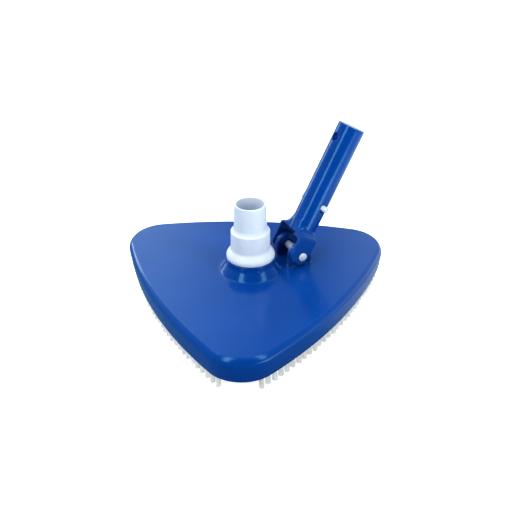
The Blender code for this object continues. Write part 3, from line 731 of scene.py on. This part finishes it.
def tuft(centre_x, centre_y, along_x, along_y, z_top, lean):
    """Points and strand tones of one tuft: packed tight at the top, fanning out below.

    In a strand, "along" runs along the row and "across" towards the inside of the head; the
    tips lean outwards.
    """
    verts, tones = [], []
    for s in range(STRANDS):
        root = TUFT_R * math.sqrt((s + 0.5) / STRANDS)
        turn = s * 2.399963 + rng.uniform(-0.25, 0.25)          # the golden angle, in radians
        root_along, root_across = root * math.cos(turn), root * math.sin(turn)
        splay = 1.16 + 0.14 * rng.random()
        drift_along, drift_across = rng.normal(0, 0.16, 2)
        bow_along, bow_across = rng.normal(0, 0.07, 2)
        z_end = rng.uniform(0.0, 0.35) if s % 9 else 0.0
        tones += [rng.random()] * STRAND_POINTS
        for level in range(STRAND_LEVELS):
            t = level / (STRAND_LEVELS - 1)
            z = z_top + (z_end - z_top) * t
            spread = 1 + (splay - 1) * t ** 1.5
            along = root_along * spread + drift_along * t * t + bow_along * math.sin(math.pi * t)
            across = (root_across * spread + drift_across * t * t
                      + bow_across * math.sin(math.pi * t) - lean * t ** 1.6)
            radius = STRAND_R * (1.0 if level < STRAND_LEVELS - 1 else 0.72)
            for k in range(STRAND_SIDES):
                angle = 2 * math.pi * k / STRAND_SIDES + turn
                u = along + radius * math.cos(angle)
                v = across + radius * math.sin(angle)
                verts.append((centre_x + (along_x * u - along_y * v),
                              centre_y + (along_y * u + along_x * v), z))
    return verts, tones


def build_bristles(side):
    pitch = 2 * ROW_HALF / (TUFTS - 1)
    verts, tones = [], []
    for k in range(TUFTS):
        degrees = -ROW_HALF + pitch * k
        x, y, _ = side_point(ROW_INSET, degrees, side, 0.0)
        next_x, next_y, _ = side_point(ROW_INSET, degrees + 0.01, side, 0.0)
        along_x, along_y = next_x - x, next_y - y
        length = math.hypot(along_x, along_y)
        tuft_verts, tuft_tones = tuft(x, y, along_x / length, along_y / length,
                                      z_top=LIFT + RAIL_Z0 + 0.4,
                                      lean=1.1 + 0.35 * rng.normal())
        verts += tuft_verts
        tones += tuft_tones
    faces = [tuple(i + start for i in face) for start in range(0, len(verts), STRAND_POINTS)
             for face in STRAND_FACES]
    row = from_arrays("vac_bristles_%d" % (side + 1), np.array(verts) * MM, faces, bristle,
                      STRAND_SHARP)
    strand = row.data.attributes.new("strand", "FLOAT", "POINT")
    strand.data.foreach_set("value", np.array(tones, np.float32))
    put(row, "head", "bristle_row_%d" % (side + 1))


# ---- screws -----------------------------------------------------------------------------------
def build_screws(screw_spots):
    """All screws share one mesh: head down, with a cross recess."""
    head_low, head_high = 0.9, PLATE_Z0 - GAP
    profile = [(0, head_low), (2.7, head_low, 0.5), (SCREW_HEAD_R, head_low + 0.7, 0.3),
               (SCREW_HEAD_R, head_high, 0.15), (SCREW_R, head_high), (SCREW_R, 13.6),
               (0, 14.9)]
    pattern = lathe("screw_pattern", rounded(profile, 3), 40)
    for half_x, half_y in ((2.0, 0.42), (0.42, 2.0)):
        bar = [(-half_x, -half_y), (half_x, -half_y), (half_x, half_y), (-half_x, half_y)]
        cut(pattern, prism("drive", bar, head_low - 1.0, head_low + 1.1))
    bake(pattern, LOOK_SHARP, steel)
    for i, spot in enumerate(screw_spots):
        screw = add_object("vac_screw_%d" % (i + 1), pattern.data)
        screw.location = spot + Vector((0, 0, LIFT * MM))
        screw.rotation_euler = (0, 0, math.radians(23.0 * i))
        put(screw, "head", "base_screw_%d" % (i + 1))
    bpy.data.objects.remove(pattern, do_unlink=True)


# ---- hose cuff --------------------------------------------------------------------------------
def build_cuff():
    spigot_r, bore_r, bottom, top = 17.2, 13.0, 24.0, 94.2
    groove_r, seal_groove_r = 15.9, 15.4
    flange_r, flange_z = 23.4, 38.57
    lower_r, lower_top = 19.0, 66.3
    upper_r, upper_z, tip_r = 15.8, 70.3, 14.9
    profile = [
        # spigot inside the neck, with the grooves for ring and seal
        (spigot_r, bottom, 0.3), (spigot_r, 25.4), (groove_r, 25.4), (groove_r, 29.5),
        (spigot_r, 29.5), (spigot_r, 32.6), (seal_groove_r, 32.6), (seal_groove_r, 35.8),
        (spigot_r, 35.8), (spigot_r, flange_z),
        # flange over the neck, tapering up to the lower barrel
        (flange_r - 0.1, flange_z, 0.55), (flange_r, flange_z + 2.3, 0.8),
        (flange_r - 0.25, flange_z + 3.6, 1.5), (flange_r - 0.9, flange_z + 5.0, 2.0),
        (flange_r - 1.9, flange_z + 6.5, 2.5), (flange_r - 3.1, flange_z + 8.0, 2.5),
        (flange_r - 3.9, flange_z + 9.0, 2.0), (lower_r, flange_z + 10.4, 1.5),
        # step in to the upper barrel, its tip, and the bore
        (lower_r - 0.2, lower_top, 0.9), (upper_r + 0.9, lower_top + 1.4, 1.2),
        (upper_r, upper_z, 1.6), (tip_r, top, 0.5), (bore_r, top, 0.45), (bore_r, bottom, 0.3)]
    cuff = lathe("vac_hose_cuff", lifted(rounded(profile, 6)), 160, white_cuff, LOOK_SHARP)
    put(cuff, "connector", "hose_connector")

    ring_profile = [(16.2, 25.7, 0.2), (20.4, 25.7, 0.4), (20.4, NECK_SHELF - GAP, 0.3),
                    (16.2, NECK_SHELF - GAP, 0.2)]
    ring = lathe("vac_retaining_ring", lifted(rounded(ring_profile, 3)), 120, white_ring,
                 LOOK_SHARP)
    put(ring, "connector", "retaining_ring")

    seal_profile = [(15.7, 32.9, 0.2), (16.9, 32.9, 0.5), (17.3, 34.2, 0.6), (16.9, 35.5, 0.5),
                    (15.7, 35.5, 0.2)]
    seal = lathe("vac_swivel_seal", lifted(rounded(seal_profile, 3)), 120, black_seal,
                 LOOK_SHARP)
    put(seal, "connector", "swivel_seal")


# ---- pole handle, in its own frame ------------------------------------------------------------
# Position along the pole, half width in Y, low x, high x, corner radius.
# The first part is straight; from the second row on it is a smooth curve.
CROWN = [(-14.0, FORK_OUT, FORK_X_LOW, FORK_X_HIGH, 0.9),
         (18.3, FORK_OUT, FORK_X_LOW, FORK_X_HIGH, 0.9),
         (19.5, FORK_OUT - 0.7, FORK_X_LOW, FORK_X_HIGH, 1.2),
         (21.4, 15.9, FORK_X_LOW, FORK_X_HIGH + 0.1, 2.2),
         (23.8, 13.2, FORK_X_LOW, FORK_X_HIGH + 0.9, 4.8),
         (27.5, 11.9, FORK_X_LOW, FORK_X_HIGH + 1.7, 7.0),
         (33.5, 11.2, FORK_X_LOW + 0.4, FORK_X_HIGH + 2.4, 9.5)]


def fork_section(z, half, x_low, x_high, radius):
    points = corner_arcs(x_low + radius, x_high - radius, -(half - radius), half - radius,
                         radius, 8)
    return [(x, y, z) for x, y in points]


def fork():
    crown = [CROWN[0]] + smooth_line(CROWN[1:], 6)
    piece = loft("fork", [fork_section(*row) for row in crown])
    # side view (x, z) of the cheeks, round below the pin
    cheek = [(FORK_X_LOW - 2, 50.0), (FORK_X_LOW - 2, -2.0), (FORK_X_LOW + 0.1, -2.0),
             (FORK_X_LOW + 1.2, -4.6), (-8.6, -7.6)]
    cheek += arc(0, 0, 8.6, -115.0, -12.0, 32)
    cheek += [(FORK_X_HIGH + 0.4, 8.0), (FORK_X_HIGH + 6.0, 26.0), (FORK_X_HIGH + 6.0, 50.0)]
    cut(piece, prism("cheek", cheek, -24.0, 24.0, XZ), "INTERSECT")
    # space between the cheeks (y, z), rounded under the roof
    roof_r = 3.0
    half = [(FORK_IN, -16.0), (FORK_IN, FORK_ROOF - roof_r)]
    half += arc(FORK_IN - roof_r, FORK_ROOF - roof_r, roof_r, 0.0, 90.0, 8)[1:]
    space = half + [(-y, z) for y, z in reversed(half)]
    cut(piece, prism("fork_gap", space, -20.0, 20.0, YZ))
    return bake(piece)


def build_handle():
    fork_piece = fork()
    profile = rounded([(0, FORK_ROOF), (TUBE_R, FORK_ROOF), (TUBE_R, TUBE_END, 0.5),
                       (0, TUBE_END)], 4)
    handle = lathe("pole_tube", profile, 160)
    cut(handle, fork_piece, "UNION")
    cut(handle, cylinder("tube_bore", TUBE_BORE, 10.0, TUBE_END - 3.0, 120))
    cut(handle, pin_bore())
    slot_r = BUTTON_R + 0.35
    slot = arc(0, BUTTON_POS, slot_r, 0.0, 180.0, 20)
    slot += arc(0, BUTTON_POS - BUTTON_DROP, slot_r, 180.0, 360.0, 20)
    cut(handle, prism("button_slot", slot, -16.0, 16.0, BUTTON_ROT @ XZ))
    top_hole = cylinder("top_hole", TOP_HOLE_R, -16.0, 16.0, 64)
    cut(handle, place(top_hole, Matrix.Translation(Vector((0, 0, TOP_HOLE_POS)) * MM)
                      @ Matrix.Rotation(math.radians(90), 4, "Y")))
    sharp = 40.0
    remesh = handle.modifiers.new("voxels", "REMESH")
    remesh.mode, remesh.voxel_size, remesh.adaptivity = "VOXEL", 0.42 * MM, 0.0
    smooth = handle.modifiers.new("soften", "SMOOTH")
    smooth.factor, smooth.iterations = 0.5, 5
    sharp = None
    bake(handle, sharp, blue_handle)
    handle.name = "vac_pole_handle"
    place(handle, HANDLE_PLACE)
    put(handle, "handle", "pole_handle")


def build_pin():
    """Pin with its head on the -Y side, and the cap on the +Y side."""
    along_y = HANDLE_PLACE @ Matrix.Rotation(math.radians(-90), 4, "X")
    face = FORK_FACE
    pin_profile = [(0, -(face + 1.05)), (2.4, -(face + 1.0), 1.5), (4.1, -(face + 0.65), 0.8),
                   (PIN_HEAD_R, -face, 0.2), (PIN_R, -face), (PIN_R, face - 0.6, 0.2),
                   (2.4, face - 0.2, 0.2), (2.4, face + 0.8), (0, face + 0.8)]
    cap_profile = [(2.7, face), (PIN_HEAD_R, face, 0.2), (4.1, face + 0.8, 0.8),
                   (2.6, face + 1.3, 0.8), (0, face + 1.4), (0, face + 1.1), (2.7, face + 1.1)]
    for name, profile, node in (("vac_pivot_pin", pin_profile, "pivot_pin"),
                                ("vac_pivot_cap", cap_profile, "pivot_pin_cap")):
        piece = lathe(name, rounded(profile, 4), 72, white_pin, LOOK_SHARP)
        place(piece, along_y)
        put(piece, "handle", node)


def build_clip():
    """Spring clip inside the tube: a bend at the top and two arms with snap buttons."""
    basis = BUTTON_ROT @ YZ
    bend_z = CLIP_BEND_POS + 0.3
    outline_points = arc(0, bend_z, 3.3, 0.0, 180.0, 24) + arc(0, bend_z, 1.9, 180.0, 0.0, 24)
    bend = prism("vac_clip_bend", outline_points, -CLIP_HALF_W, CLIP_HALF_W, basis, white_clip,
                 LOOK_SHARP)
    place(bend, HANDLE_PLACE)
    put(bend, "handle", "spring_clip_bend")

    top, bottom = Vector((2.6, CLIP_BEND_POS)), Vector((7.7, 45.5))
    along = (bottom - top).normalized()
    half = Vector((-along.y, along.x)) * 0.7                    # half the strip's thickness
    strip = (top - half, top + half, bottom + half, bottom - half)
    knob_profile = rounded([(0, 6.6), (BUTTON_R, 6.6), (BUTTON_R, BUTTON_TIP, 0.95),
                            (0, BUTTON_TIP)], 6)
    for name, sign in (("left", 1), ("right", -1)):             # left is the +Y side
        arm = prism("strip", [(sign * p.x, p.y) for p in strip], -CLIP_HALF_W, CLIP_HALF_W,
                    basis)
        knob = lathe("knob", knob_profile, 56)
        place(knob, BUTTON_ROT.to_4x4() @ Matrix.Translation(Vector((0, 0, BUTTON_POS)) * MM)
              @ Matrix.Rotation(math.radians(-90 * sign), 4, "X"))
        cut(arm, knob, "UNION")
        bake(arm, LOOK_SHARP, white_clip)
        arm.name = "vac_snap_button_" + name
        place(arm, HANDLE_PLACE)
        put(arm, "clip_arm_" + name, "spring_clip_arm_" + name)


# ---- ballast weights: CAD pieces that keep their shape ----------------------------------------
def dress_weights():
    for k in (1, 2, 3):
        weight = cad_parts["ballast_weight_%d" % k]
        weight.data.materials.clear()
        weight.data.materials.append(cast)
        soften_edges(weight, width=0.4, segments=2, angle=30)
        weight.data.shade_smooth()


# ---- camera -----------------------------------------------------------------------------------
CAMERA_RIGHT = Vector((0.89730726, -0.44136901, -0.00575187))
CAMERA_UP = Vector((0.22578968, 0.4477576, 0.86517752))
CAMERA_FORWARD = Vector((0.37928711, 0.77762878, -0.50143271))
CAMERA_PLACE = Vector((-0.27180324, -0.56686877, 0.41645888)) + SHIFT
CAMERA_BEARING = math.atan2(CAMERA_FORWARD.y, CAMERA_FORWARD.x)


def build_camera():
    camera = add_object("camera", bpy.data.cameras.new("camera"))
    camera.data.lens, camera.data.sensor_width = 53.2114094, 36
    camera.data.clip_start, camera.data.clip_end = 0.01, 50.0
    axes = Matrix((CAMERA_RIGHT, CAMERA_UP, -CAMERA_FORWARD)).transposed()
    camera.matrix_world = Matrix.Translation(CAMERA_PLACE) @ axes.to_4x4()
    scene.camera = camera


# ---- floor ------------------------------------------------------------------------------------
def paper_shine(nodes, position):
    """Painted light the paper gives off to the part: a streak to the right front, pale behind,
    dim close by.
    """
    to_camera = Vector((-CAMERA_FORWARD.x, -CAMERA_FORWARD.y, 0)).normalized()
    maths, step = nodes.maths, nodes.step
    # distances from the origin towards the camera and to its right; bearing grows rightwards
    ahead = nodes.vector_maths("DOT_PRODUCT", position, (to_camera.x, to_camera.y, 0))
    aside = nodes.vector_maths("DOT_PRODUCT", position, (-to_camera.y, to_camera.x, 0))
    bearing = maths("ARCTAN2", aside, ahead)
    in_front = step(bearing, (2.2, 2.65), (1.0, 0.0))
    square = maths("ADD", maths("MULTIPLY", ahead, ahead), maths("MULTIPLY", aside, aside))
    away = maths("SQRT", square, 0.0)
    streak = maths("MULTIPLY", step(bearing, (0.40, 0.52)),
                   step(bearing, (0.56, 1.0), (1.0, 0.12)))
    streak = maths("MULTIPLY", streak, in_front)
    streak = maths("MULTIPLY", streak, maths("MULTIPLY", step(away, (0.17, 0.27)),
                                             step(away, (0.75, 1.1), (7.0, 0.0))))
    far_off = step(ahead, (-0.40, -0.75), (0.0, 0.7))
    near_right = maths("MULTIPLY", step(aside, (0.02, 0.12), (0.0, 0.35)),
                       maths("MULTIPLY", step(bearing, (0.5, 1.0)), in_front))
    return maths("ADD", maths("ADD", streak, far_off), near_right)


def floor_paper():
    """White to the camera, dull with painted light to the part, clear from underneath."""
    material, nodes, surface = new_material("floor_paper")
    nodes.feed(surface, {"Base Color": (0.9, 0.9, 0.9, 1), "Roughness": 0.9,
                         "Specular IOR Level": 0.0, "Emission Color": (1, 1, 1, 1),
                         "Emission Strength": 0.8})
    is_camera = nodes.add("LightPath").outputs["Is Camera Ray"]
    # painted reflection tint: the paper looks bluish to the part, so its reflections in the blue
    # plastic read bluer
    dull = nodes.add("BsdfDiffuse", {"Color": (0.14, 0.28, 0.40, 1)}).outputs[0]
    geometry = nodes.add("NewGeometry")
    shine = paper_shine(nodes, geometry.outputs["Position"])
    # painted light: the paper glows for the part with this emission
    shining = nodes.add("Emission", {"Strength": shine}).outputs[0]
    lit = nodes.add("AddShader", {0: dull, 1: shining}).outputs[0]
    above = nodes.add("MixShader", {0: is_camera, 1: lit, 2: surface.outputs[0]}).outputs[0]
    clear = nodes.add("BsdfTransparent").outputs[0]
    both = nodes.add("MixShader", {0: geometry.outputs["Backfacing"], 1: above, 2: clear})
    nodes.feed(nodes.tree.nodes["Material Output"], {"Surface": both.outputs[0]})
    return material


def build_floor():
    half, z = 4.0, -0.0002                 # metres, just below the bristle tips
    mesh = bpy.data.meshes.new("floor")
    mesh.from_pydata([(-half, -half, z), (half, -half, z), (half, half, z), (-half, half, z)],
                     [], [(0, 1, 2, 3)])
    floor = add_object("floor", mesh)
    mesh.materials.append(floor_paper())


# ---- surroundings and lights ------------------------------------------------------------------
def build_world():
    """Brightest behind the part as the camera sees it, most of all on the left; else dimmer."""
    strength = 1.0
    world = bpy.data.worlds.new("studio")
    scene.world = world
    nodes = Nodes(world)
    maths, step = nodes.maths, nodes.step
    direction = nodes.add("TexCoord").outputs["Generated"]
    turned = nodes.add("Mapping", {"Vector": direction, "Rotation": (0, 0, -CAMERA_BEARING)})
    split = nodes.add("SeparateXYZ", {0: turned.outputs[0]})
    # x points away from the camera, y to its left, z up
    x, y, z = (split.outputs[axis] for axis in "XYZ")
    level = maths("ADD", step(x, (-0.8, -0.1), (0.12, 0.52)), step(x, (0.5, 0.9), (0.0, -0.18)))
    overhead = maths("MULTIPLY", step(z, (0.5, 0.95), (0.0, 0.42)),
                     step(x, (-0.8, 0.1), (1.0, 0.8)))
    level = maths("ADD", level, overhead)
    left = maths("MULTIPLY", step(y, (-0.04, 0.17), (0.0, 1.8)),
                 step(y, (0.28, 0.55), (1.0, 0.15)))
    right = maths("MULTIPLY", step(y, (-0.16, -0.06), (1.1, 0.0)),
                  step(y, (-0.6, -0.3), (0.5, 1.0)))
    behind = maths("ADD", left, right)
    behind = maths("MULTIPLY", behind, step(z, (0.62, 0.8), (1.0, 0.2)))
    level = maths("ADD", level, maths("MULTIPLY", behind, step(x, (0.1, 0.45))))
    # this fades out at the horizon; below it an even light comes in
    level = maths("ADD", maths("MULTIPLY", level, step(z, (-0.05, 0.0))),
                  step(z, (-0.3, -0.5), (0.0, 0.8)))
    nodes.feed(nodes.tree.nodes["Background"],
               {"Strength": maths("MULTIPLY", level, strength), "Color": (0.80, 0.94, 1.0, 1)})


# Name, degrees from the direction of the camera (positive to its right), elevation in degrees,
# width and height in metres, power in watts
SOFT_BOXES = [("strip_left", -38, 36, 0.42, 1.4, 13),
              ("strip_right", 53, 36, 0.42, 1.4, 10),
              ("fill_left", -88, 52, 0.7, 0.7, 4.5),
              ("strip_back", -132, 18, 0.4, 1.0, 5)]
LIGHT_DIST = 1.6                           # metres


def build_lights():
    for name, azimuth, elevation, width, height, power in SOFT_BOXES:
        bearing = CAMERA_BEARING + math.pi + math.radians(azimuth)
        level, rise = on_circle(1.0, elevation)
        outward = Vector((math.cos(bearing) * level, math.sin(bearing) * level, rise))
        light = bpy.data.lights.new(name, "AREA")
        light.shape, light.size, light.size_y, light.energy = "RECTANGLE", width, height, power
        box = add_object(name, light)
        box.location = Vector((0, 0, 0.05)) + SHIFT + outward * LIGHT_DIST
        box.rotation_mode = "QUATERNION"
        box.rotation_quaternion = (-outward).to_track_quat("-Z", "Y")


# ---- build ------------------------------------------------------------------------------------
spots = screw_places()
build_shell(spots)
build_base_plate(spots)
for side_index in range(3):
    build_rail(side_index)
    build_bristles(side_index)
build_screws(spots)
build_cuff()
build_handle()
build_pin()
build_clip()
dress_weights()

build_camera()
build_floor()
build_world()
build_lights()
scene.view_settings.view_transform = "Standard"
scene.view_settings.gamma = 0.92
scene.cycles.use_denoising = True
scene.cycles.max_bounces = 10
